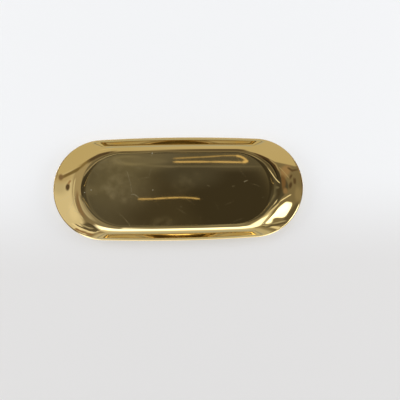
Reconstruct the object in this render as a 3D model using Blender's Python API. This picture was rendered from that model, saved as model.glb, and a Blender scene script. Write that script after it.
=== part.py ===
"""An oblong candle tray, pressed from one sheet of gold coated stainless steel.

Metres, +Z up, origin in the middle of the underside, length along X. The tray
is one shallow pressing: a flat floor, a rounded corner, a slightly hollow wall
that flares wide at the two ends and stands steep along the two sides, and a
lip that levels out to a rounded edge all round.
Run it with: blender --background --python part.py
"""

import math

import bmesh
import bpy

# Driving sizes of the pressing, in metres
TRAY_LENGTH = 0.230
TRAY_WIDTH = 0.095
TRAY_HEIGHT = 0.010
SHEET = 0.0006
RIM_BOW = 0.0017  # how much further out each side stands at mid length than at its end arcs
FLOOR_BOW = 0.0004  # the same for the flat floor
END_FLARE = 0.030  # how far wall and lip reach out past the floor at the two ends
SIDE_FLARE = 0.014  # the same at the middle of the sides
CORNER_RADIUS_SIDE = 0.011  # between floor and wall along the sides, on the upper face
CORNER_RADIUS_END = 0.040  # the same at the two ends
WALL_RADIUS = 0.090  # of the hollow of the wall, on the upper face
LIP_RADIUS = 0.007  # of the lip's crown, on the upper face
LIP_SLOPE_SIDE = math.radians(26)  # what is left of the wall's slope at the edge, along the sides
LIP_SLOPE_END = math.radians(15)  # the same at the two ends
EDGE_ROUND = 0.0002  # of both corners of the trimmed edge

# How finely the round shapes are divided
END_STEPS = 44
SIDE_STEPS = 14
CORNER_STEPS = 7
WALL_STEPS = 3
LIP_STEPS = 5
EDGE_STEPS = 2

SMALLEST_BOW = 1e-6  # a bow of nothing would need a side arc of endless radius
SHORTEST_WALL = 0.001  # the least wall between corner and lip, where it would be straight
EDGE_ANGLE = math.radians(60)  # only the trimmed edge's own corners are sharper than this
SAME_COSINE = 1e-12  # how closely two directions' cosines agree where the arcs meet
GOLD = (0.871, 0.658, 0.292, 1.0)
GOLD_ROUGHNESS = 0.06


class Oval:
    """An outline of two end arcs and two long side arcs that meet smoothly, centred on the origin."""

    def __init__(self, length, width, bow):
        bow = max(bow, SMALLEST_BOW)
        self.end_radius = width / 2 - bow
        self.end_centre = length / 2 - self.end_radius
        self.side_radius = bow / 2 + self.end_radius + self.end_centre**2 / (2 * bow)
        self.side_centre = width / 2 - self.side_radius
        self.meeting_angle = math.atan2(-self.side_centre, self.end_centre)
        self.meeting_x = self.side_radius * math.cos(self.meeting_angle)

    def point(self, angle):
        """The point of the outline whose outward normal has this angle."""
        normal_x, normal_y = math.cos(angle), math.sin(angle)
        if abs(normal_x) >= math.cos(self.meeting_angle) - SAME_COSINE:
            centre_x = math.copysign(self.end_centre, normal_x)
            return centre_x + self.end_radius * normal_x, self.end_radius * normal_y
        centre_y = math.copysign(self.side_centre, self.side_centre * normal_y)
        return self.side_radius * normal_x, centre_y + self.side_radius * normal_y

    def normal_angles(self):
        """The normals' angles at the stations all the way round, starting on the +X end arc."""
        meeting = self.meeting_angle
        spans = [
            (-meeting, meeting, END_STEPS),
            (meeting, math.pi - meeting, SIDE_STEPS),
            (math.pi - meeting, math.pi + meeting, END_STEPS),
            (math.pi + meeting, 2 * math.pi - meeting, SIDE_STEPS),
        ]
        return [
            start + (end - start) * step / steps
            for start, end, steps in spans
            for step in range(steps)
        ]

    def distance_from(self, point, angle):
        """How far the outline is from a point inside it, along the direction of this angle."""
        side_y = math.copysign(self.side_centre, self.side_centre * math.sin(angle))
        along_side = distance_to_arc(point, angle, (0, side_y), self.side_radius)
        if abs(point[0] + along_side * math.cos(angle)) <= self.meeting_x:
            return along_side
        end_x = math.copysign(self.end_centre, math.cos(angle))
        return distance_to_arc(point, angle, (end_x, 0), self.end_radius)


def distance_to_arc(point, angle, centre, radius):
    """The distance from a point inside a circle to the circle, along the direction of this angle."""
    across_x, across_y = point[0] - centre[0], point[1] - centre[1]
    along = across_x * math.cos(angle) + across_y * math.sin(angle)
    return -along + math.sqrt(along**2 - across_x**2 - across_y**2 + radius**2)


def triangle_angle(opposite, side, other_side):
    """The angle between two sides of a triangle, from its three lengths."""
    return math.acos((side**2 + other_side**2 - opposite**2) / (2 * side * other_side))


def wall_section(reach, corner_radius, lip_slope):
    """The upper face from the floor's edge to the trimmed edge, as (distance out, height) pairs.

    It is three arcs that run smoothly into each other: the corner, the hollow
    wall and the lip. The corner starts level at the floor's edge and the lip
    ends at the rim, so the slopes where the wall meets them follow from the
    triangle that the centres of the three arcs make.
    """
    rounded_off = EDGE_ROUND * (math.sin(lip_slope) + math.cos(lip_slope) - 1)
    edge_out = reach - SHEET * math.sin(lip_slope) + rounded_off
    edge_up = TRAY_HEIGHT - SHEET + rounded_off
    lip_out = edge_out + LIP_RADIUS * math.sin(lip_slope)
    lip_up = edge_up - LIP_RADIUS * math.cos(lip_slope)
    roomiest = (lip_out**2 + lip_up**2 - LIP_RADIUS**2 - SHORTEST_WALL**2) / (2 * (lip_up + LIP_RADIUS))
    corner_radius = min(corner_radius, roomiest)
    corner_to_lip = math.hypot(lip_out, corner_radius - lip_up)
    wall_to_corner = WALL_RADIUS - corner_radius
    wall_to_lip = WALL_RADIUS + LIP_RADIUS
    lip_bearing = math.atan2(lip_out, corner_radius - lip_up)
    top_slope = lip_bearing - triangle_angle(wall_to_corner, wall_to_lip, corner_to_lip)
    foot_slope = top_slope - triangle_angle(corner_to_lip, wall_to_corner, wall_to_lip)

    section = [(0, SHEET)]
    section += arc(section[-1], corner_radius, 0, foot_slope, CORNER_STEPS)
    section += arc(section[-1], WALL_RADIUS, foot_slope, top_slope, WALL_STEPS)
    section += arc(section[-1], -LIP_RADIUS, top_slope, lip_slope, LIP_STEPS)
    return section


def between(side, end, towards_end):
    """A size that changes from the middle of the sides to the two ends."""
    return side + (end - side) * towards_end


def arc(start, radius, first_slope, last_slope, steps):
    """The points after the start of an arc, hollow above, or crowned for a radius below 0."""
    slopes = [first_slope + (last_slope - first_slope) * step / steps for step in range(1, steps + 1)]
    return [
        (
            start[0] + radius * (math.sin(slope) - math.sin(first_slope)),
            start[1] + radius * (math.cos(first_slope) - math.cos(slope)),
        )
        for slope in slopes
    ]


def upper_face_rings():
    """Rings of points on the tray's upper face, from the floor's edge out to the trimmed edge."""
    rim = Oval(TRAY_LENGTH, TRAY_WIDTH, RIM_BOW)
    floor = Oval(TRAY_LENGTH - 2 * END_FLARE, TRAY_WIDTH - 2 * SIDE_FLARE, FLOOR_BOW)
    ribs = []
    for angle in floor.normal_angles():
        foot = floor.point(angle)
        towards_end = math.cos(angle) ** 2
        corner_radius = between(CORNER_RADIUS_SIDE, CORNER_RADIUS_END, towards_end)
        lip_slope = between(LIP_SLOPE_SIDE, LIP_SLOPE_END, towards_end)
        section = wall_section(rim.distance_from(foot, angle), corner_radius, lip_slope)
        ribs.append(
            [
                (foot[0] + out * math.cos(angle), foot[1] + out * math.sin(angle), height)
                for out, height in section
            ]
        )
    return list(zip(*ribs))


def draw_sheet(mesh, rings):
    """The floor as one face, and the wall and lip drawn from its edge through the rings, facing up."""
    station = mesh.verts.layers.int.new("station")
    floor_edge = [mesh.verts.new(point) for point in rings[0]]
    for number, vert in enumerate(floor_edge):
        vert[station] = number
    edge = mesh.faces.new(floor_edge).edges[:]
    for ring in rings[1:]:
        drawn = bmesh.ops.extrude_edge_only(mesh, edges=edge)["geom"]
        edge = [item for item in drawn if isinstance(item, bmesh.types.BMEdge) and item.is_boundary]
        for item in drawn:
            if isinstance(item, bmesh.types.BMVert):
                item.co = ring[item[station]]


def pressed_tray():
    """The tray: the upper face as a skin, given the sheet's thickness downwards and a rounded edge."""
    mesh = bmesh.new()
    draw_sheet(mesh, upper_face_rings())
    data = bpy.data.meshes.new("tray")
    mesh.to_mesh(data)
    mesh.free()

    tray = bpy.data.objects.new("tray", data)
    bpy.context.scene.collection.objects.link(tray)
    thickness = tray.modifiers.new("Sheet", "SOLIDIFY")
    thickness.thickness = SHEET
    thickness.offset = -1
    thickness.use_even_offset = True
    rounding = tray.modifiers.new("Edge", "BEVEL")
    rounding.limit_method = "ANGLE"
    rounding.angle_limit = EDGE_ANGLE
    rounding.width = EDGE_ROUND
    rounding.segments = EDGE_STEPS
    return tray


def gold_finish():
    """Mirror polished stainless steel under a thin gold coloured coat."""
    material = bpy.data.materials.new("polished_gold_steel")
    material.use_nodes = True
    shader = material.node_tree.nodes["Principled BSDF"]
    shader.inputs["Base Color"].default_value = GOLD
    shader.inputs["Metallic"].default_value = 1.0
    shader.inputs["Roughness"].default_value = GOLD_ROUGHNESS
    return material


def main():
    for thing in list(bpy.data.objects):
        bpy.data.objects.remove(thing, do_unlink=True)
    tray = pressed_tray()
    tray.data.materials.append(gold_finish())
    tray.data.shade_smooth()


main()
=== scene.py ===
"""Looks of the oblong candle tray: one gold coloured steel pressing, mirror polished, used."""

import cmath
import math

import bmesh
import bpy
from mathutils import Euler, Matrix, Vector
from mathutils.interpolate import poly_3d_calc


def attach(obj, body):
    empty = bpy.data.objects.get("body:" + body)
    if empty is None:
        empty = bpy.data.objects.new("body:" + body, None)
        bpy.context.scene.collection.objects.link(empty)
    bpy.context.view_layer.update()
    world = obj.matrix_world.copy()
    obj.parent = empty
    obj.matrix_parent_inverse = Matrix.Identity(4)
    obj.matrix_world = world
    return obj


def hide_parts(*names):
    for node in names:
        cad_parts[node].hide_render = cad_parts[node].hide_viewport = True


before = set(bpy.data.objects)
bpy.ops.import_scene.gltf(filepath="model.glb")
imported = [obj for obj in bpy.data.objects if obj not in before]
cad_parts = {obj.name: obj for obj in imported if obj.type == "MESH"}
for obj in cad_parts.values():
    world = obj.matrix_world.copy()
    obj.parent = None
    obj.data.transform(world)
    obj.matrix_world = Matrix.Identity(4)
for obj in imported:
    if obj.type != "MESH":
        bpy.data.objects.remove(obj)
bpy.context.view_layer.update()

MM = 0.001

# The pressing's sizes, as in the part
TRAY_LENGTH = 230 * MM
TRAY_WIDTH = 95 * MM
TRAY_HEIGHT = 10 * MM
SHEET = 0.6 * MM
RIM_BOW = 1.7 * MM
FLOOR_BOW = 0.4 * MM
END_FLARE = 30 * MM
SIDE_FLARE = 14 * MM
CORNER_RADIUS_SIDE = 11 * MM
CORNER_RADIUS_END = 40 * MM
WALL_RADIUS = 90 * MM
LIP_RADIUS = 7 * MM
LIP_SLOPE_SIDE = math.radians(26)
LIP_SLOPE_END = math.radians(15)
EDGE_ROUND = 0.2 * MM
SHORTEST_WALL = 1 * MM  # the least wall between corner and lip

# How finely the skin is divided, fine enough for a mirror
END_STEPS = 120
SIDE_STEPS = 60
FLOOR_RINGS = 14
FLOOR_MIDDLE = 0.02  # the innermost ring's share of the floor's size
CORNER_STEPS = 16
WALL_STEPS = 12
LIP_STEPS = 12
EDGE_STEPS = 4
EDGE_ANGLE = math.radians(60)  # only the trimmed edge's own corners are sharper than this
SAME_COSINE = 1e-12  # how closely two directions' cosines agree where the arcs meet

# How every soft edge fades
SMOOTH = {"interpolation_type": "SMOOTHSTEP", "clamp": False}

# The camera, from the rim's and the floor's outlines in the photograph
CAMERA_PLACE = (-0.0201, 0.0095, 0.5622)
CAMERA_TURNS = (math.radians(-2.05), math.radians(-3.98), math.radians(-0.96))
CAMERA_REACH = 1.5  # the focal length in frame widths
SENSOR = 36
PICTURE = 400  # the photograph's width and height in pixels

# The floor, a board painted brighter and cooler beyond FLOOR_FAR and darker and warmer up to
# FLOOR_NEAR: painted shade
FLOOR_REACH = 15.0
FLOOR_GAP = 0.1 * MM
FLOOR_NEAR = -80 * MM
FLOOR_FAR = 20 * MM
SHADED_NEAR_PAINT = "E5E4E2"
LIT_FAR_PAINT = "F5F6F6"
PAINT_ROUGHNESS = 0.9
FLOOR_GLOW = 0.58  # the share of its brightness that is its own, so that its shadows stay soft

# The two soft lamps: their lean from overhead, and their bearing from +X and -X
LAMP_SIZE = 0.75
LAMP_DISTANCE = 1.3
LAMP_LEAN = math.radians(68)
LAMP_BEARING = math.radians(12)
LAMP_POWER = 7.6

# Tints of the light: plain, cool, sand, two warm browns and straw
PLAIN = (1.0, 1.0, 1.04)
DAYLIGHT = (0.92, 1.0, 1.25)
SAND = (1.08, 1.0, 0.92)
BROWN = (1.3, 1.0, 0.85)
RUST = (1.45, 1.0, 0.75)
STRAW = (1.23, 1.0, 0.64)

ALL_ROUND_LEVEL = 1.0
SWEEP_TINT = (1.06, 1.0, 0.88)
SWEEP_LEVEL = 0.525
SWEEP_RISE = math.radians(26.5)  # how far above level the pale sweep fills the view towards -Y
SWEEP_ROLL = math.radians(-5)
SWEEP_EDGE = 0.02  # how softly it ends above, as a sine
SWEEP_SEEN = ("oval", (0, -50), (62, 62), 0, 0.2)  # where it is laid, as the rows below say it

# What the polish mirrors, as soft shapes of light in the order in which they are laid over each
# other: outline, centre and half size in degrees from overhead (towards +X, towards +Y), turn in
# degrees, softness of the edge, level and tint of the light
LIGHT_SHAPES = [
    # Pale light towards +X, and low beyond +Y
    ("panel", (44, 8), (17, 40), 0, 0.15, 0.7, PLAIN),
    ("oval", (43, -5), (8, 7), 0, 0.7, 0.55, PLAIN),
    ("oval", (40, -14), (11, 5), 0, 0.7, 0.46, SAND),
    ("oval", (33, 22), (3, 10), 0, 0.6, 0.78, PLAIN),
    ("panel", (-2, 84), (26, 27), 0, 0.1, 0.55, PLAIN),
    ("oval", (19, 68), (5, 9), 8, 0.5, 0.25, SAND),
    ("panel", (2, 71), (6.5, 7), 0, 0.2, 0.55, DAYLIGHT),
    ("panel", (2, 79), (18, 1.6), 0, 0.6, 0.38, DAYLIGHT),
    # The dim part overhead
    ("panel", (-10, -4), (39, 36), 0, 0.08, 0.2, SAND),
    ("panel", (-28, 45), (15, 22), -25, 0.25, 0.22, SAND),
    ("panel", (20.4, -8), (9.1, 24), 0, 0.04, 0.37, SAND),
    ("panel", (22.5, 30), (5.5, 26), 2, 0.25, 0.215, SAND),
    ("oval", (23.5, 44), (3.6, 9), 14, 0.4, 0.075, SAND),
    ("oval", (14, 12), (5, 9), 0, 0.5, 0.4, PLAIN),
    # Bright panels towards +Y
    ("oval", (4, 25), (9, 9), 0, 0.7, 0.24, PLAIN),
    ("panel", (6, 58.5), (11, 5.2), 0, 0.4, 0.7, PLAIN),
    ("panel", (2, 42.2), (13.5, 7.8), 0, 0.5, 2.4, DAYLIGHT),
    ("oval", (-9, 31), (6.5, 16), 0, 0.4, 2.0, DAYLIGHT),
    ("oval", (-11, 14), (6, 4.0), 0, 0.6, 0.45, PLAIN),
    ("panel", (-15.5, 34), (1.9, 14), 2, 0.5, 0.5, PLAIN),
    ("panel", (-36.5, 31), (4, 15), -25, 0.3, 0.12, SAND),
    ("panel", (-28.6, 23.6), (4.7, 9.8), -18, 0.14, 2.6, DAYLIGHT),
    ("oval", (-22, 44.5), (9, 2.2), 22, 0.5, 0.16, SAND),
    ("panel", (-44.5, 26), (3.2, 13.5), -8, 0.3, 3.8, DAYLIGHT),
    ("panel", (-36, 53), (4, 8), -35, 0.3, 1.6, DAYLIGHT),
    ("oval", (-22, 53.5), (5, 3.0), -10, 0.5, 0.85, PLAIN),
    ("oval", (-13, 56), (5, 2.2), 0, 0.5, 0.3, SAND),
    # The dark middle, which the floor of the tray shows
    ("oval", (-9.5, -2), (20.3, 13), 0, 0.07, 0.086, PLAIN),
    ("oval", (-13, -18), (9, 11), 0, 0.5, 0.055, BROWN),
    ("oval", (-15, 1), (6, 4.5), 0, 0.6, 0.06, SAND),
    ("oval", (-1, -10), (10, 5), 0, 0.6, 0.1, SAND),
    ("oval", (3.5, -2), (7.3, 4.4), 0, 0.25, 0.057, SAND),
    ("oval", (6.8, -2), (4.1, 3.2), 0, 0.3, 0.043, SAND),
    ("oval", (-3.9, -0.1), (2.8, 2.3), 0, 0.8, 0.125, PLAIN),
    ("panel", (2, 2.2), (10, 1.2), 0, 0.5, 0.105, PLAIN),
    ("oval", (-2.6, 2.0), (4.2, 1.1), 0, 0.6, 0.15, PLAIN),
    ("oval", (3.2, 0.5), (2.6, 1.2), 0, 0.6, 0.072, PLAIN),
    ("panel", (3.6, 1.17), (6.2, 0.085), -1, 0.3, 0.145, PLAIN),
]
SHAPES_ON_THE_SWEEP = [
    ("panel", (9, -57.5), (6, 2.2), 0, 0.5, 0.62, SAND),
    ("panel", (2, -72.5), (8, 6.5), 0, 0.3, 0.5, DAYLIGHT),
    ("panel", (3, -79.0), (16, 0.9), 0, 0.6, 0.26, PLAIN),
]

# The finer shapes, given by where the picture shows them on the tray, in its pixels to the right
# and down: a line by its points and half width, or a spot by its centre, half size and turn. Then
# come the softness of the edge, and the level and tint of the light
FINE_SHAPES = {
    # On the floor of the tray
    "far_patch": ("spot", (131, 160.6), (19, 4.8), 2, 0.14, 0.23, PLAIN),
    "far_patch_rim": ("spot", (141, 160.4), (26, 3.2), 2, 0.25, 0.165, PLAIN),
    "far_patch_line": ("line", [(140, 165), (172, 166.9)], 0.83, 0.4, 0.17, PLAIN),
    "near_streak": (
        "line",
        [(138.3, 199.1), (153, 198.8), (167, 197.9), (180, 197.5), (191, 197.9), (199.6, 198.9)],
        0.63, 0.12, 0.56, STRAW,
    ),
    "far_streak_edge": (
        "line", [(173.8, 158.3), (200, 157.2), (222, 155.8), (237, 155.5)], 0.52, 0.15, 0.42, STRAW,
    ),
    "far_streak": ("line", [(173.8, 161.9), (210, 161.7), (246, 162.3)], 0.73, 0.12, 0.58, STRAW),
    "far_streak_hook": (
        "line", [(236.5, 155.7), (241, 156.6), (245, 158.9), (247.6, 161.6)], 0.94, 0.2, 0.6, STRAW,
    ),
    "far_streak_tip": ("spot", (245.2, 161.6), (2.6, 1.4), -8, 0.3, 0.6, STRAW),
    # At the right end
    "end_brown": ("spot", (285.5, 171), (4.5, 6.5), 25, 0.5, 0.27, BROWN),
    "end_rust": ("spot", (283.4, 182), (2.2, 7), -4, 0.5, 0.13, RUST),
    "end_brown_foot": ("spot", (285.5, 191), (2.2, 3), 0, 0.5, 0.22, BROWN),
    "end_dark_far": ("spot", (290.8, 176.6), (1.1, 2.3), 25, 0.6, 0.09, BROWN),
    "end_dark_near": ("spot", (290.6, 185.2), (1.5, 3.2), 12, 0.6, 0.07, BROWN),
    "end_pale_line": ("line", [(279.5, 167.5), (284, 172), (288.6, 177.5)], 0.3, 0.5, 0.4, SAND),
    "end_dark_line": ("line", [(294.6, 179), (294.8, 183)], 1.1, 0.7, 0.085, BROWN),
    "end_dark_bend": ("line", [(288.6, 168.2), (292, 170.5), (296, 169.8)], 0.8, 0.7, 0.1, BROWN),
    "lip_brown": ("spot", (299.5, 180), (0.15, 3), 0, 0.5, 0.17, BROWN),
    "lip_sand": ("spot", (298, 194), (3.5, 7), 0, 0.5, 0.27, SAND),
    "far_curve_dark": (
        "line", [(259, 155.2), (266, 158), (272, 163), (276, 168.5)], 1.5, 0.5, 0.055, RUST,
    ),
    "far_curve_darker": (
        "line", [(266, 160.8), (271, 165), (275.2, 171), (278, 177)], 1.1, 0.5, 0.025, SAND,
    ),
    "far_curve_thin": (
        "line", [(264, 160.2), (269, 164), (273, 169.5), (276, 175.5)], 0.32, 0.5, 0.2, SAND,
    ),
    "end_dark_strip": ("line", [(278.3, 173), (279.6, 180)], 1.3, 0.6, 0.05, SAND),
    "far_curve_pale": (
        "line", [(270.5, 160.2), (275.6, 164.4), (278.5, 170)], 0.55, 0.5, 0.36, SAND,
    ),
    "end_pale_strip": ("line", [(279.3, 169.5), (280.6, 176)], 0.35, 0.5, 0.26, SAND),
    "corner_dim": ("line", [(264, 163), (268, 167), (271.5, 171.5)], 0.5, 0.6, 0.14, SAND),
    "corner_pale": ("line", [(258.5, 158.6), (264, 163), (269.6, 170.5)], 0.34, 0.5, 0.2, PLAIN),
    "corner_bright": (
        "line", [(269, 169.6), (274.2, 176.8), (279.6, 182.6)], 0.36, 0.4, 0.95, PLAIN,
    ),
    "corner_spot": ("spot", (277.5, 187.5), (1.8, 1.2), 0, 0.5, 0.16, PLAIN),
    "near_curve": ("line", [(276.9, 200.6), (273.6, 204.6)], 0.45, 0.4, 0.85, PLAIN),
    "near_curve_dim": ("line", [(273.6, 204.6), (270.6, 208), (266, 213)], 0.45, 0.5, 0.3, PLAIN),
    "near_ray": ("line", [(290.6, 194.9), (285.5, 197.9), (279.5, 202.4)], 0.45, 0.4, 1, PLAIN),
    "near_ray_foot": (
        "line", [(278.4, 204), (271.9, 210.3), (264.6, 216.9)], 0.5, 0.4, 0.85, PLAIN,
    ),
    "near_glow": ("spot", (282.5, 208.9), (8.2, 3.1), -38, 0.3, 3, DAYLIGHT),
    "near_glow_middle": ("spot", (274.5, 215.3), (7.3, 1.8), -40, 0.4, 3, DAYLIGHT),
    "near_glow_tail": ("spot", (268.8, 220.8), (4.6, 1.1), -42, 0.4, 2.6, DAYLIGHT),
    "near_lip_pale": ("line", [(284, 221), (273, 223.4)], 0.6, 0.6, 0.45, PLAIN),
    "near_lip_dark": ("line", [(283, 223), (272, 225.7), (264, 227)], 0.6, 0.6, 0.1, SAND),
    # At the left end
    "left_outer": (
        "line",
        [(75, 180), (73.6, 190), (74.4, 201), (77.5, 210.5), (82, 218)],
        0.4, 0.6, 0.66, PLAIN,
    ),
    "left_brown": ("line", [(77.6, 196), (78.8, 206), (82.5, 214.5)], 1.2, 0.7, 0.2, BROWN),
    "left_inner": (
        "line", [(79.2, 198), (81.2, 205), (84.3, 211.5), (89.5, 217.5)], 0.6, 0.6, 0.48, PLAIN,
    ),
    "left_far_corner": ("line", [(85, 174), (90, 168), (98, 161)], 0.4, 0.6, 0.4, SAND),
    "left_near_corner": (
        "line", [(84.3, 203.5), (88.5, 210.5), (94, 216.6), (102, 223)], 0.35, 0.6, 0.3, PLAIN,
    ),
    "left_dark_spot": ("spot", (67.6, 187), (1.9, 3.5), 8, 0.4, 0.08, BROWN),
    "left_dark_tail": ("line", [(68.3, 183.5), (70, 181)], 0.8, 0.7, 0.28, BROWN),
    # The stripes at the lower left
    "stripe_outer": ("line", [(76, 224.4), (84, 228.2), (94, 231.6)], 0.6, 0.5, 0.12, SAND),
    "stripe_wide": (
        "line", [(84, 224.8), (90, 226.8), (95.5, 229.5), (99, 230.8)], 1.6, 0.5, 0.11, SAND,
    ),
    "stripe_pale": ("line", [(80, 223.2), (85, 226.4), (91, 228.8)], 0.45, 0.5, 0.45, PLAIN),
    "stripe_bright": (
        "line", [(73, 224), (81, 228.5), (86, 230.6), (93, 232.9)], 0.65, 0.5, 0.9, PLAIN,
    ),
    "stripe_rust": (
        "line", [(76, 228.3), (80, 230.4), (85, 232.6), (92, 234.7)], 0.7, 0.5, 0.2, RUST,
    ),
}
FINE_SHAPES_ON_THE_SWEEP = {
    "upper_left_tail": ("line", [(63, 177), (74, 171.4), (83, 164.9)], 1.15, 0.8, 0.16, STRAW),
    "upper_left_strip": ("line", [(83, 164.9), (92, 158.7)], 1, 0.8, 0.2, STRAW),
    "upper_left_spot": ("spot", (60.8, 177.2), (2.3, 3), 0, 0.5, 0.17, BROWN),
    "upper_left_dark": ("line", [(92, 159.2), (99, 155.4), (108, 152.8)], 1.1, 0.8, 0.07, BROWN),
}
LINE_OVERLAP = 0.35  # how far a line's straight lengths run past its points, in half widths
SMALL_STEP = 0.75  # the steps over which the change of direction is found, in pixels
SPOT_STEP = 0.7  # the same for a spot, as a share of its smaller half size

# Marks of use on the tray, in millimetres: outline, centre, half size, turn in degrees, softness
# of the edge, and strength
FINGER_MARKS = [
    ("oval", (-54, 10), (29, 27), 0, 0.5, 0.17),
    ("oval", (-65, 0), (8, 9), 20, 0.5, 0.75),
    ("oval", (-51, -4), (7, 8), -10, 0.5, 0.6),
    ("oval", (-64, 25), (16, 8), 0, 0.6, 0.6),
    ("oval", (-56, 10), (12, 5), 10, 0.6, 0.7),
    ("oval", (-88, 1), (2.6, 10), 0, 0.6, 0.3),
    ("oval", (-15, -31), (10, 5), 0, 0.6, 0.4),
    ("oval", (6, 7), (12, 7), 30, 0.6, 0.35),
]
SPECKS = [
    ("oval", (-82.0, 0.4), (0.5, 0.5), 0, 0.5, 0.8),
    ("oval", (-88.0, -1.9), (0.5, 0.4), 0, 0.5, 0.8),
    ("oval", (-25.0, -0.5), (0.5, 0.5), 0, 0.5, 0.7),
    ("oval", (-25.0, 33.6), (0.5, 0.8), 0, 0.5, 0.8),
    ("oval", (62.5, 6.6), (1.9, 0.4), 20, 0.5, 0.5),
    ("oval", (50.6, 1.9), (1.3, 0.4), 10, 0.5, 0.2),
    ("oval", (27.1, 2.8), (1.3, 0.4), -30, 0.5, 0.2),
]
HAIR_LINES = [
    ("panel", (-47.6, 13.3), (3.7, 0.2), -74, 0.5, 0.8),
    ("panel", (-45.9, 6.7), (3.6, 0.2), -76, 0.5, 0.8),
    ("panel", (-44.9, 0.7), (3.0, 0.2), -88, 0.5, 0.7),
    ("panel", (-43.4, -4.4), (1.9, 0.25), -3, 0.5, 1.0),
    ("panel", (-40.0, -5.9), (2.1, 0.25), -41, 0.5, 1.0),
    ("panel", (-82, 21), (9.0, 0.15), 48, 0.5, 0.5),
]

# The marks that have no set place, in millimetres. Real hair lines are finer: these are as fine
# as a picture of the whole tray can show
DUST = {"spacing": 13.0, "radius": 0.42, "chance": 0.10}
SPECK_CORE = 0.4  # the share of a speck's radius that is at full strength
FINE_LINES = {"spacing": 16.0, "width": 0.22, "chance": 0.45}
LONG_LINES = {"spacing": 37.0, "width": 0.25, "chance": 0.30}
LINE_BOW = 0.02  # how much a line bows away, per millimetre along it
LINE_CORE = 0.3  # the share of a line's width that is at full strength
LINE_REACH = (0.5, 0.1)  # where a line has faded out, and where it starts to fade, in spacings
VEIL_CLOUDS = {"size": 9.0, "least": 0.36, "most": 0.62}
LINE_CLOUDS = {"size": 40.0, "least": 0.40, "most": 0.60}
SCUFF_CLOUDS = {"size": 5.0, "least": 0.35, "most": 0.65}
COAT_CLOUDS = {"size": 60.0, "least": 0.35, "most": 0.65, "detail": 1.0}
SCUFFED_BELOW = (0.4, 0.05)  # heights where the underside's scuffs start and are full
RUBBED_ABOVE = (9.86, 9.98)  # the same for the rubbed edge

# The coat's colour where it is thick and thin, where it is rubbed, and where dust lies on it
THICK_COAT = "F4D792"
THIN_COAT = "F1D48B"
RUBBED_COAT = "F0E0BC"
DUSTY_COAT = "DDD8BC"

# How strong the marks without a set place are against those with one
LOOSE_DUST = 0.5
LOOSE_LINES = 0.5

# The polish's own roughness, and how much each kind of mark takes from the metal, adds to the
# roughness, and pales the coat
POLISH = 0.02
LESS_METAL = {"veil": 0.10, "specks": 0.45, "lines": 0.12}
ROUGHER = {"veil": 0.05, "lines": 0.2, "scuffs": 0.16}
COAT_RUBBED = {"edge": 0.5, "scuffs": 0.3}
DUSTY = {"veil": 0.15, "specks": 1.0, "lines": 0.5}

# The press's faint waves: their size, their height, and how much of it the floor keeps
WAVE_SIZE = 14.0
WAVE_HEIGHT = 0.03 * MM
WAVES_ON_FLOOR = 0.04
WAVES_FULL = (0.7, 5.0)  # heights between which the wall's waves grow to full


class Oval:
    """An outline of two end arcs and two long side arcs that meet smoothly, round the origin."""

    def __init__(self, length, width, bow):
        self.end_radius = width / 2 - bow
        self.end_centre = length / 2 - self.end_radius
        self.side_radius = bow / 2 + self.end_radius + self.end_centre**2 / (2 * bow)
        self.side_centre = width / 2 - self.side_radius
        self.meeting_angle = math.atan2(-self.side_centre, self.end_centre)
        self.meeting_x = self.side_radius * math.cos(self.meeting_angle)

    def point(self, angle):
        """The point of the outline whose outward normal has this angle."""
        normal_x, normal_y = math.cos(angle), math.sin(angle)
        if abs(normal_x) >= math.cos(self.meeting_angle) - SAME_COSINE:
            centre_x = math.copysign(self.end_centre, normal_x)
            return centre_x + self.end_radius * normal_x, self.end_radius * normal_y
        centre_y = math.copysign(self.side_centre, self.side_centre * normal_y)
        return self.side_radius * normal_x, centre_y + self.side_radius * normal_y

    def normal_angles(self):
        """The normals' angles at the stations all the way round, starting on the +X end arc."""
        meeting = self.meeting_angle
        spans = [
            (-meeting, meeting, END_STEPS),
            (meeting, math.pi - meeting, SIDE_STEPS),
            (math.pi - meeting, math.pi + meeting, END_STEPS),
            (math.pi + meeting, 2 * math.pi - meeting, SIDE_STEPS),
        ]
        return [
            start + (end - start) * step / steps
            for start, end, steps in spans
            for step in range(steps)
        ]

    def distance_from(self, point, angle):
        """How far the outline is from a point inside it, along the direction of this angle."""
        side_y = math.copysign(self.side_centre, self.side_centre * math.sin(angle))
        along_side = distance_to_arc(point, angle, (0, side_y), self.side_radius)
        if abs(point[0] + along_side * math.cos(angle)) <= self.meeting_x:
            return along_side
        end_x = math.copysign(self.end_centre, math.cos(angle))
        return distance_to_arc(point, angle, (end_x, 0), self.end_radius)


def distance_to_arc(point, angle, centre, radius):
    """How far the circle is from a point inside it, along the direction of this angle."""
    across_x, across_y = point[0] - centre[0], point[1] - centre[1]
    along = across_x * math.cos(angle) + across_y * math.sin(angle)
    return -along + math.sqrt(along**2 - across_x**2 - across_y**2 + radius**2)


def triangle_angle(opposite, side, other_side):
    """The angle between two sides of a triangle, from its three lengths."""
    return math.acos((side**2 + other_side**2 - opposite**2) / (2 * side * other_side))


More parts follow.
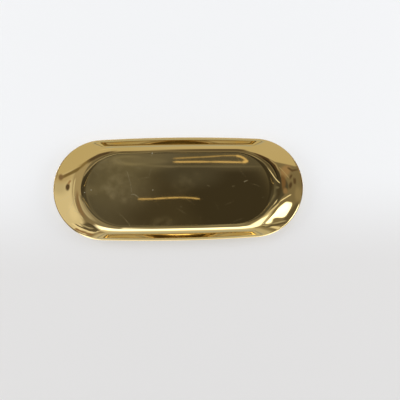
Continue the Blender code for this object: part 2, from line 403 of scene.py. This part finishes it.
def wall_section(reach, corner_radius, lip_slope):
    """The upper face from the floor's edge to the trimmed edge: corner, hollow wall and lip."""
    rounded_off = EDGE_ROUND * (math.sin(lip_slope) + math.cos(lip_slope) - 1)
    edge_out = reach - SHEET * math.sin(lip_slope) + rounded_off
    edge_up = TRAY_HEIGHT - SHEET + rounded_off
    lip_out = edge_out + LIP_RADIUS * math.sin(lip_slope)
    lip_up = edge_up - LIP_RADIUS * math.cos(lip_slope)
    # The largest corner that leaves room for the shortest wall
    room = lip_out**2 + lip_up**2 - LIP_RADIUS**2 - SHORTEST_WALL**2
    corner_radius = min(corner_radius, room / (2 * (lip_up + LIP_RADIUS)))
    corner_to_lip = math.hypot(lip_out, corner_radius - lip_up)
    wall_to_corner = WALL_RADIUS - corner_radius
    wall_to_lip = WALL_RADIUS + LIP_RADIUS
    lip_bearing = math.atan2(lip_out, corner_radius - lip_up)
    top_slope = lip_bearing - triangle_angle(wall_to_corner, wall_to_lip, corner_to_lip)
    foot_slope = top_slope - triangle_angle(corner_to_lip, wall_to_corner, wall_to_lip)

    section = [(0, SHEET)]
    section += arc(section[-1], corner_radius, 0, foot_slope, CORNER_STEPS)
    section += arc(section[-1], WALL_RADIUS, foot_slope, top_slope, WALL_STEPS)
    section += arc(section[-1], -LIP_RADIUS, top_slope, lip_slope, LIP_STEPS)
    return section


def between(side, end, towards_end):
    """A size that changes from the middle of the sides to the two ends."""
    return side + (end - side) * towards_end


def arc(start, radius, first_slope, last_slope, steps):
    """The points after the start of an arc, hollow above, or crowned for a radius below 0."""
    rise = (last_slope - first_slope) / steps
    slopes = [first_slope + rise * step for step in range(1, steps + 1)]
    return [
        (
            start[0] + radius * (math.sin(slope) - math.sin(first_slope)),
            start[1] + radius * (math.cos(first_slope) - math.cos(slope)),
        )
        for slope in slopes
    ]


def upper_face_rings():
    """Rings of points on the upper face, from the middle of the floor out to the trimmed edge."""
    rim = Oval(TRAY_LENGTH, TRAY_WIDTH, RIM_BOW)
    floor = Oval(TRAY_LENGTH - 2 * END_FLARE, TRAY_WIDTH - 2 * SIDE_FLARE, FLOOR_BOW)
    ribs = []
    for angle in floor.normal_angles():
        foot = floor.point(angle)
        towards_end = math.cos(angle) ** 2
        corner_radius = between(CORNER_RADIUS_SIDE, CORNER_RADIUS_END, towards_end)
        lip_slope = between(LIP_SLOPE_SIDE, LIP_SLOPE_END, towards_end)
        section = wall_section(rim.distance_from(foot, angle), corner_radius, lip_slope)
        spine_x = min(max(foot[0], -floor.end_centre), floor.end_centre)
        rib = []
        for ring in range(FLOOR_RINGS):
            share = 1 - (1 - FLOOR_MIDDLE) * (1 - ring / FLOOR_RINGS) ** 2
            rib.append((spine_x + (foot[0] - spine_x) * share, foot[1] * share, SHEET))
        rib += [
            (foot[0] + out * math.cos(angle), foot[1] + out * math.sin(angle), height)
            for out, height in section
        ]
        ribs.append(rib)
    return list(zip(*ribs))


def draw_sheet(mesh, rings):
    """The middle of the floor as one face, and the rest drawn from its edge through the rings."""
    station = mesh.verts.layers.int.new("station")
    first = [mesh.verts.new(point) for point in rings[0]]
    for number, vert in enumerate(first):
        vert[station] = number
    edge = mesh.faces.new(first).edges[:]
    for ring in rings[1:]:
        drawn = bmesh.ops.extrude_edge_only(mesh, edges=edge)["geom"]
        edge = [item for item in drawn if isinstance(item, bmesh.types.BMEdge) and item.is_boundary]
        for item in drawn:
            if isinstance(item, bmesh.types.BMVert):
                item.co = ring[item[station]]


def polished_tray():
    """The pressing with its sheet's thickness and its rounded edge."""
    mesh = bmesh.new()
    draw_sheet(mesh, upper_face_rings())
    data = bpy.data.meshes.new("polished_tray")
    mesh.to_mesh(data)
    mesh.free()
    data.shade_smooth()
    tray = bpy.data.objects.new("polished_tray", data)
    bpy.context.scene.collection.objects.link(tray)
    sheet = tray.modifiers.new("Sheet", "SOLIDIFY")
    sheet.thickness = SHEET
    sheet.offset = -1
    sheet.use_even_offset = True
    rounding = tray.modifiers.new("Edge", "BEVEL")
    rounding.limit_method = "ANGLE"
    rounding.angle_limit = EDGE_ANGLE
    rounding.width = EDGE_ROUND
    rounding.segments = EDGE_STEPS
    rounding.harden_normals = True
    return tray


def linear(hex_code):
    """The linear colour of an sRGB hex code."""
    channels = [int(hex_code[start : start + 2], 16) / 255 for start in (0, 2, 4)]
    return [c / 12.92 if c <= 0.04045 else ((c + 0.055) / 1.055) ** 2.4 for c in channels] + [1.0]


def add(tree, kind, inputs=(), **settings):
    """A new node with its settings, and its inputs set to values or linked to nodes or sockets.

    Inputs are given by name or by number. On a node that mixes two colours, 0
    is the share, and 6 and 7 are the colours.
    """
    made = tree.nodes.new("ShaderNode" + kind)
    for name, value in settings.items():
        setattr(made, name, value)
    for name, value in dict(inputs).items():
        if isinstance(value, bpy.types.Node):
            value = next(output for output in value.outputs if output.enabled)
        if isinstance(value, bpy.types.NodeSocket):
            tree.links.new(value, made.inputs[name])
        else:
            made.inputs[name].default_value = value
    return made


def soft_share(tree, chart, outline, centre, half_size, turn, softness):
    """The share, from 0 to 1, that a soft edged oval or panel has at each place of a chart."""
    offset = add(tree, "VectorMath", {0: chart, 1: (*centre, 0)}, operation="SUBTRACT")
    cosine, sine = math.cos(math.radians(turn)), math.sin(math.radians(turn))
    axes = {
        "X": (cosine / half_size[0], sine / half_size[0], 0),
        "Y": (-sine / half_size[1], cosine / half_size[1], 0),
    }
    shares = {
        name: add(tree, "VectorMath", {0: offset, 1: axis}, operation="DOT_PRODUCT")
        for name, axis in axes.items()
    }
    placed = add(tree, "CombineXYZ", shares)
    nearest, farthest = 1 - softness, 1 + softness
    if outline == "panel":
        placed = add(tree, "VectorMath", {0: placed, 1: placed}, operation="MULTIPLY")
        nearest, farthest = nearest**2, farthest**2
    reach = add(tree, "VectorMath", {0: placed}, operation="LENGTH")
    return add(tree, "MapRange", {0: reach, 1: farthest, 2: nearest}, **SMOOTH)


class PolishedView:
    """What the polish shows at each place of the picture, found by the camera's one reflection.

    Places are complex numbers, in pixels to the right and down. So are the
    directions that light comes from, in degrees from overhead, towards +X and
    towards +Y.
    """

    def __init__(self, tray):
        self.tray = tray.evaluated_get(bpy.context.evaluated_depsgraph_get())

    def shows(self, place):
        """The direction from which light reaches the camera by this place of the picture."""
        across, up = place.real - PICTURE / 2, PICTURE / 2 - place.imag
        view = Vector((across, up, -PICTURE * CAMERA_REACH))
        view.rotate(Euler(CAMERA_TURNS, "ZYX"))
        seen, met, _, face = self.tray.ray_cast(CAMERA_PLACE, view)
        if not seen:
            raise ValueError(f"The tray isn't seen at the picture's {place}")
        skin = self.tray.data
        corners = [skin.vertices[number] for number in skin.polygons[face].vertices]
        shares = poly_3d_calc([corner.co for corner in corners], met)
        normal = sum((corner.normal * share for corner, share in zip(corners, shares)), Vector())
        light = view.reflect(normal)
        return cmath.rect(math.degrees(light.angle((0, 0, 1))), math.atan2(light.y, light.x))

    def change(self, place, step):
        """How the direction changes per pixel to the right and per pixel down, over a step."""
        right = self.shows(place + step) - self.shows(place - step)
        down = self.shows(place + step * 1j) - self.shows(place - step * 1j)
        return right / (2 * step), down / (2 * step)

    def line(self, points, half_width, *look):
        """A line of the picture, as a panel of light for each of its straight lengths."""
        points = [complex(*point) for point in points]
        panels = []
        for start, end in zip(points, points[1:]):
            right, down = self.change((start + end) / 2, SMALL_STEP)
            along = (end - start) / abs(end - start)
            # A square pixel shows a slanted patch, whose area over its length is its breadth
            patch_length = abs(right * along.real + down * along.imag)
            half_breadth = half_width * abs((right.conjugate() * down).imag) / patch_length
            length = self.shows(end) - self.shows(start)
            middle = (self.shows(end) + self.shows(start)) / 2
            half_size = (abs(length) / 2 + LINE_OVERLAP * half_breadth, half_breadth)
            turn = math.degrees(cmath.phase(length))
            panels.append(("panel", (middle.real, middle.imag), half_size, turn, *look))
        return panels

    def spot(self, centre, half_size, turn, *look):
        """A spot of the picture, as one oval of light."""
        centre, axis = complex(*centre), cmath.rect(1, math.radians(turn))
        right, down = self.change(centre, max(SMALL_STEP, SPOT_STEP * min(half_size)))
        first = half_size[0] * (right * axis.real + down * axis.imag)
        second = half_size[1] * (down * axis.real - right * axis.imag)
        # The oval through both, as two turning arms, whose sum and difference are its half sizes
        one, other = (first - second * 1j) / 2, (first + second * 1j) / 2
        true_size = (abs(one) + abs(other), abs(abs(one) - abs(other)))
        true_turn = math.degrees((cmath.phase(one) + cmath.phase(other)) / 2)
        middle = self.shows(centre)
        return [("oval", (middle.real, middle.imag), true_size, true_turn, *look)]

    def shapes(self, table):
        """The panels and ovals of light that stand for a table of lines and spots."""
        makers = {"line": self.line, "spot": self.spot}
        return [shape for kind, *row in table.values() for shape in makers[kind](*row)]


def light_of(level, tint):
    """The colour of light of a level and a tint."""
    return tuple(level * channel for channel in tint) + (1,)


def studio_light(shapes, shapes_on_the_sweep):
    """Light by direction: pale all round, dim overhead, bright panels to +Y, a pale sweep to -Y."""
    world = bpy.data.worlds.new("studio")
    world.use_nodes = True
    bpy.context.scene.world = world
    tree = world.node_tree
    direction = add(tree, "TexCoord").outputs["Generated"]
    height = add(tree, "SeparateXYZ", {0: direction}).outputs["Z"]
    from_overhead = add(tree, "Math", {0: height}, operation="ARCCOSINE")
    degrees = add(tree, "Math", {0: from_overhead}, operation="DEGREES")
    level = add(tree, "VectorMath", {0: direction, 1: (1, 1, 0)}, operation="MULTIPLY")
    bearing = add(tree, "VectorMath", {0: level}, operation="NORMALIZE")
    chart = add(tree, "VectorMath", {0: bearing, "Scale": degrees}, operation="SCALE")

    light = light_of(ALL_ROUND_LEVEL, PLAIN)
    for *form, level, tint in shapes:
        share = soft_share(tree, chart, *form)
        light = add(tree, "Mix", {0: share, 6: light, 7: light_of(level, tint)}, data_type="RGBA")
    sweep_up = (
        math.cos(SWEEP_RISE) * math.sin(SWEEP_ROLL),
        math.cos(SWEEP_RISE) * math.cos(SWEEP_ROLL),
        math.sin(SWEEP_RISE),
    )
    above = add(tree, "VectorMath", {0: direction, 1: sweep_up}, operation="DOT_PRODUCT")
    below = add(tree, "MapRange", {0: above, 1: SWEEP_EDGE, 2: -SWEEP_EDGE}, **SMOOTH)
    seen = soft_share(tree, chart, *SWEEP_SEEN)
    sweep = add(tree, "Math", {0: below, 1: seen}, operation="MULTIPLY")
    sweep_light = light_of(SWEEP_LEVEL, SWEEP_TINT)
    light = add(tree, "Mix", {0: sweep, 6: light, 7: sweep_light}, data_type="RGBA")
    for *form, level, tint in shapes_on_the_sweep:
        share = soft_share(tree, chart, *form)
        light = add(tree, "Mix", {0: share, 6: light, 7: light_of(level, tint)}, data_type="RGBA")
    tree.links.new(light.outputs[2], tree.nodes["Background"].inputs["Color"])


def add_soft_lamps():
    """Two large soft lamps, low beyond the tray's two ends."""
    for name, bearing in (("left_lamp", math.pi - LAMP_BEARING), ("right_lamp", LAMP_BEARING)):
        lamp = bpy.data.objects.new(name, bpy.data.lights.new(name, "AREA"))
        bpy.context.scene.collection.objects.link(lamp)
        lamp.data.size = LAMP_SIZE
        lamp.data.energy = LAMP_POWER
        lamp.location = (
            LAMP_DISTANCE * math.sin(LAMP_LEAN) * math.cos(bearing),
            LAMP_DISTANCE * math.sin(LAMP_LEAN) * math.sin(bearing),
            LAMP_DISTANCE * math.cos(LAMP_LEAN),
        )
        lamp.rotation_euler = (LAMP_LEAN, 0, bearing + math.pi / 2)


def pale_floor():
    """A large pale board, its paint brighter and cooler towards +Y and darker and warmer towards -Y
    as painted shade.
    """
    mesh = bmesh.new()
    bmesh.ops.create_grid(mesh, x_segments=1, y_segments=1, size=FLOOR_REACH)
    bmesh.ops.translate(mesh, verts=mesh.verts, vec=(0, 0, -FLOOR_GAP))
    data = bpy.data.meshes.new("floor")
    mesh.to_mesh(data)
    mesh.free()
    floor = bpy.data.objects.new("floor", data)
    bpy.context.scene.collection.objects.link(floor)
    material = bpy.data.materials.new("pale_board_with_painted_shade")
    material.use_nodes = True
    tree = material.node_tree
    place = add(tree, "TexCoord").outputs["Object"]
    along = add(tree, "SeparateXYZ", {0: place}).outputs["Y"]
    # Painted shade: the paint darkens and warms towards -Y, and the floor's own glow carries it too
    shaded_share = add(tree, "MapRange", {0: along, 1: FLOOR_FAR, 2: FLOOR_NEAR}, **SMOOTH)
    shaded_paints = {6: linear(LIT_FAR_PAINT), 7: linear(SHADED_NEAR_PAINT)}
    shaded_paint = add(tree, "Mix", {0: shaded_share, **shaded_paints}, data_type="RGBA")
    lit = add(tree, "VectorMath", {0: shaded_paint, "Scale": 1 - FLOOR_GLOW}, operation="SCALE")
    ray = add(tree, "LightPath").outputs
    kinds = ("Camera", "Glossy", "Transmission")
    seen = strongest(tree, [(ray[f"Is {kind} Ray"], 1.0) for kind in kinds])
    glow = add(tree, "Math", {0: seen, 1: FLOOR_GLOW}, operation="MULTIPLY")
    shader = tree.nodes["Principled BSDF"]
    tree.links.new(lit.outputs[0], shader.inputs["Base Color"])
    tree.links.new(shaded_paint.outputs[2], shader.inputs["Emission Color"])
    tree.links.new(glow.outputs[0], shader.inputs["Emission Strength"])
    shader.inputs["Roughness"].default_value = PAINT_ROUGHNESS
    shader.inputs["Specular IOR Level"].default_value = 0.0
    data.materials.append(material)


def mottled(tree, place, size, least, most, detail=3.0):
    """Cloudy patches of about this size, from 0 to 1."""
    cloud = add(tree, "TexNoise", {"Vector": place, "Scale": 1 / size, "Detail": detail})
    return add(tree, "MapRange", {0: cloud, 1: least, 2: most})


def strongest(tree, shares):
    """The strongest of some shares, each weighed by a number or by another share."""
    total = 0
    for share, weight in shares:
        weighed = add(tree, "Math", {0: share, 1: weight}, operation="MULTIPLY")
        total = add(tree, "Math", {0: total, 1: weighed}, operation="MAXIMUM")
    return total


def effect(tree, marks, weights):
    """What the marks do together, where the weights say how much each kind counts."""
    return strongest(tree, [(marks[kind], weight) for kind, weight in weights.items()])


def placed_marks(tree, place, rows):
    """Soft edged marks at set places of the tray, each as strong as its row says."""
    return strongest(tree, [(soft_share(tree, place, *form), strength) for *form, strength in rows])


def one_in_each_cell(tree, place, spacing):
    """The place from the middle of each cell of an uneven net, and the cell's random numbers."""
    cell = add(tree, "TexVoronoi", {"Vector": place, "Scale": 1 / spacing}, voronoi_dimensions="2D")
    offset = add(tree, "VectorMath", {0: place, 1: cell.outputs["Position"]}, operation="SUBTRACT")
    return offset, add(tree, "SeparateColor", {0: cell.outputs["Color"]}).outputs


def hair_lines(tree, place, spacing, width, chance):
    """Fine, slightly bowed lines, one in some cells of a net, each turned its own way."""
    offset, random = one_in_each_cell(tree, place, spacing)
    angle = add(tree, "Math", {0: random[0], 1: math.tau}, operation="MULTIPLY")
    turned = add(tree, "VectorRotate", {"Vector": offset, "Angle": angle}, rotation_type="Z_AXIS")
    local = add(tree, "SeparateXYZ", {0: turned}).outputs
    bow = add(tree, "MapRange", {0: random[1], 3: -LINE_BOW, 4: LINE_BOW})
    squared = add(tree, "Math", {0: local["X"], 1: local["X"]}, operation="MULTIPLY")
    across = add(tree, "Math", {0: squared, 1: bow, 2: local["Y"]}, operation="MULTIPLY_ADD")
    across = add(tree, "Math", {0: across}, operation="ABSOLUTE")
    along = add(tree, "Math", {0: local["X"]}, operation="ABSOLUTE")
    thin = add(tree, "MapRange", {0: across, 1: width, 2: LINE_CORE * width}, **SMOOTH)
    faded, full = (share * spacing for share in LINE_REACH)
    short = add(tree, "MapRange", {0: along, 1: faded, 2: full}, **SMOOTH)
    line = add(tree, "Math", {0: thin, 1: short}, operation="MULTIPLY")
    drawn = add(tree, "Math", {0: random[2], 1: chance}, operation="LESS_THAN")
    return add(tree, "Math", {0: line, 1: drawn}, operation="MULTIPLY")


def dust(tree, place, spacing, radius, chance):
    """Round specks, one in some cells of a net."""
    offset, random = one_in_each_cell(tree, place, spacing)
    level = add(tree, "VectorMath", {0: offset, 1: (1, 1, 0)}, operation="MULTIPLY")
    reach = add(tree, "VectorMath", {0: level}, operation="LENGTH")
    round_speck = add(tree, "MapRange", {0: reach, 1: radius, 2: SPECK_CORE * radius}, **SMOOTH)
    drawn = add(tree, "Math", {0: random[0], 1: chance}, operation="LESS_THAN")
    return add(tree, "Math", {0: round_speck, 1: drawn}, operation="MULTIPLY")


def polished_gold_steel():
    """Stainless steel, mirror polished and given a thin gold coloured coat, a little used.

    The polish makes a clear mirror, and the coat tints all that it shows. What
    breaks the mirror is the use: finger marks and dust that lie on it as a
    dull veil, hair lines, an edge and an underside worn by the table, and the
    faint waves that the press leaves in thin sheet.
    """
    material = bpy.data.materials.new("polished_gold_steel")
    material.use_nodes = True
    tree = material.node_tree
    shader = tree.nodes["Principled BSDF"]
    place = add(tree, "TexCoord").outputs["Object"]
    place = add(tree, "VectorMath", {0: place, "Scale": 1 / MM}, operation="SCALE")
    height = add(tree, "SeparateXYZ", {0: place}).outputs["Z"]

    # Finger marks and dust scatter a little light over the mirror. The underside of the floor
    # lies on tables, and the trimmed edge is rubbed first
    veil, veil_clouds = placed_marks(tree, place, FINGER_MARKS), mottled(tree, place, **VEIL_CLOUDS)
    specks, dusting = placed_marks(tree, place, SPECKS), dust(tree, place, **DUST)
    fine, fine_clouds = hair_lines(tree, place, **FINE_LINES), mottled(tree, place, **LINE_CLOUDS)
    long, known = hair_lines(tree, place, **LONG_LINES), placed_marks(tree, place, HAIR_LINES)
    fine = add(tree, "Math", {0: fine, 1: fine_clouds}, operation="MULTIPLY")
    below = {0: height, 1: SCUFFED_BELOW[0], 2: SCUFFED_BELOW[1]}
    underside = add(tree, "MapRange", below, **SMOOTH)
    above = {0: height, 1: RUBBED_ABOVE[0], 2: RUBBED_ABOVE[1]}
    marks = {
        "veil": add(tree, "Math", {0: veil, 1: veil_clouds}, operation="MULTIPLY"),
        "specks": strongest(tree, [(specks, 1.0), (dusting, LOOSE_DUST)]),
        "lines": strongest(tree, [(fine, LOOSE_LINES), (long, LOOSE_LINES), (known, 1.0)]),
        "scuffs": strongest(tree, [(underside, mottled(tree, place, **SCUFF_CLOUDS))]),
        "edge": add(tree, "MapRange", above, **SMOOTH),
    }

    thin_coat = mottled(tree, place, **COAT_CLOUDS)
    coats = {6: linear(THICK_COAT), 7: linear(THIN_COAT)}
    colour = add(tree, "Mix", {0: thin_coat, **coats}, data_type="RGBA")
    for weights, paler in ((COAT_RUBBED, RUBBED_COAT), (DUSTY, DUSTY_COAT)):
        share = effect(tree, marks, weights)
        colour = add(tree, "Mix", {0: share, 6: colour, 7: linear(paler)}, data_type="RGBA")
    tree.links.new(colour.outputs[2], shader.inputs["Base Color"])
    metal = add(tree, "Math", {0: 1.0, 1: effect(tree, marks, LESS_METAL)}, operation="SUBTRACT")
    tree.links.new(metal.outputs[0], shader.inputs["Metallic"])
    rough = add(tree, "Math", {0: POLISH, 1: effect(tree, marks, ROUGHER)}, operation="ADD")
    tree.links.new(rough.outputs[0], shader.inputs["Roughness"])

    # The floor is pressed nearly flat; the drawn wall keeps more of the waves
    kept = {0: height, 1: WAVES_FULL[0], 2: WAVES_FULL[1], 3: WAVES_ON_FLOOR, 4: 1.0}
    waves = add(tree, "TexNoise", {"Vector": place, "Scale": 1 / WAVE_SIZE, "Detail": 1.0})
    waves = add(tree, "Math", {0: waves, 1: add(tree, "MapRange", kept)}, operation="MULTIPLY")
    bump = add(tree, "Bump", {"Strength": 1.0, "Distance": WAVE_HEIGHT, "Height": waves})
    tree.links.new(bump.outputs[0], shader.inputs["Normal"])
    return material


def add_camera():
    """The camera at the photograph's viewing angle."""
    camera = bpy.data.objects.new("camera", bpy.data.cameras.new("camera"))
    bpy.context.scene.collection.objects.link(camera)
    camera.data.sensor_width = SENSOR
    camera.data.lens = SENSOR * CAMERA_REACH
    camera.location = CAMERA_PLACE
    camera.rotation_mode = "ZYX"
    camera.rotation_euler = CAMERA_TURNS
    bpy.context.scene.camera = camera


tray = polished_tray()
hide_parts("tray")
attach(tray, "root")
tray.data.materials.append(polished_gold_steel())

pale_floor()
polished_view = PolishedView(tray)
studio_light(
    LIGHT_SHAPES + polished_view.shapes(FINE_SHAPES),
    SHAPES_ON_THE_SWEEP + polished_view.shapes(FINE_SHAPES_ON_THE_SWEEP),
)
add_soft_lamps()
add_camera()

bpy.context.scene.view_settings.view_transform = "Standard"
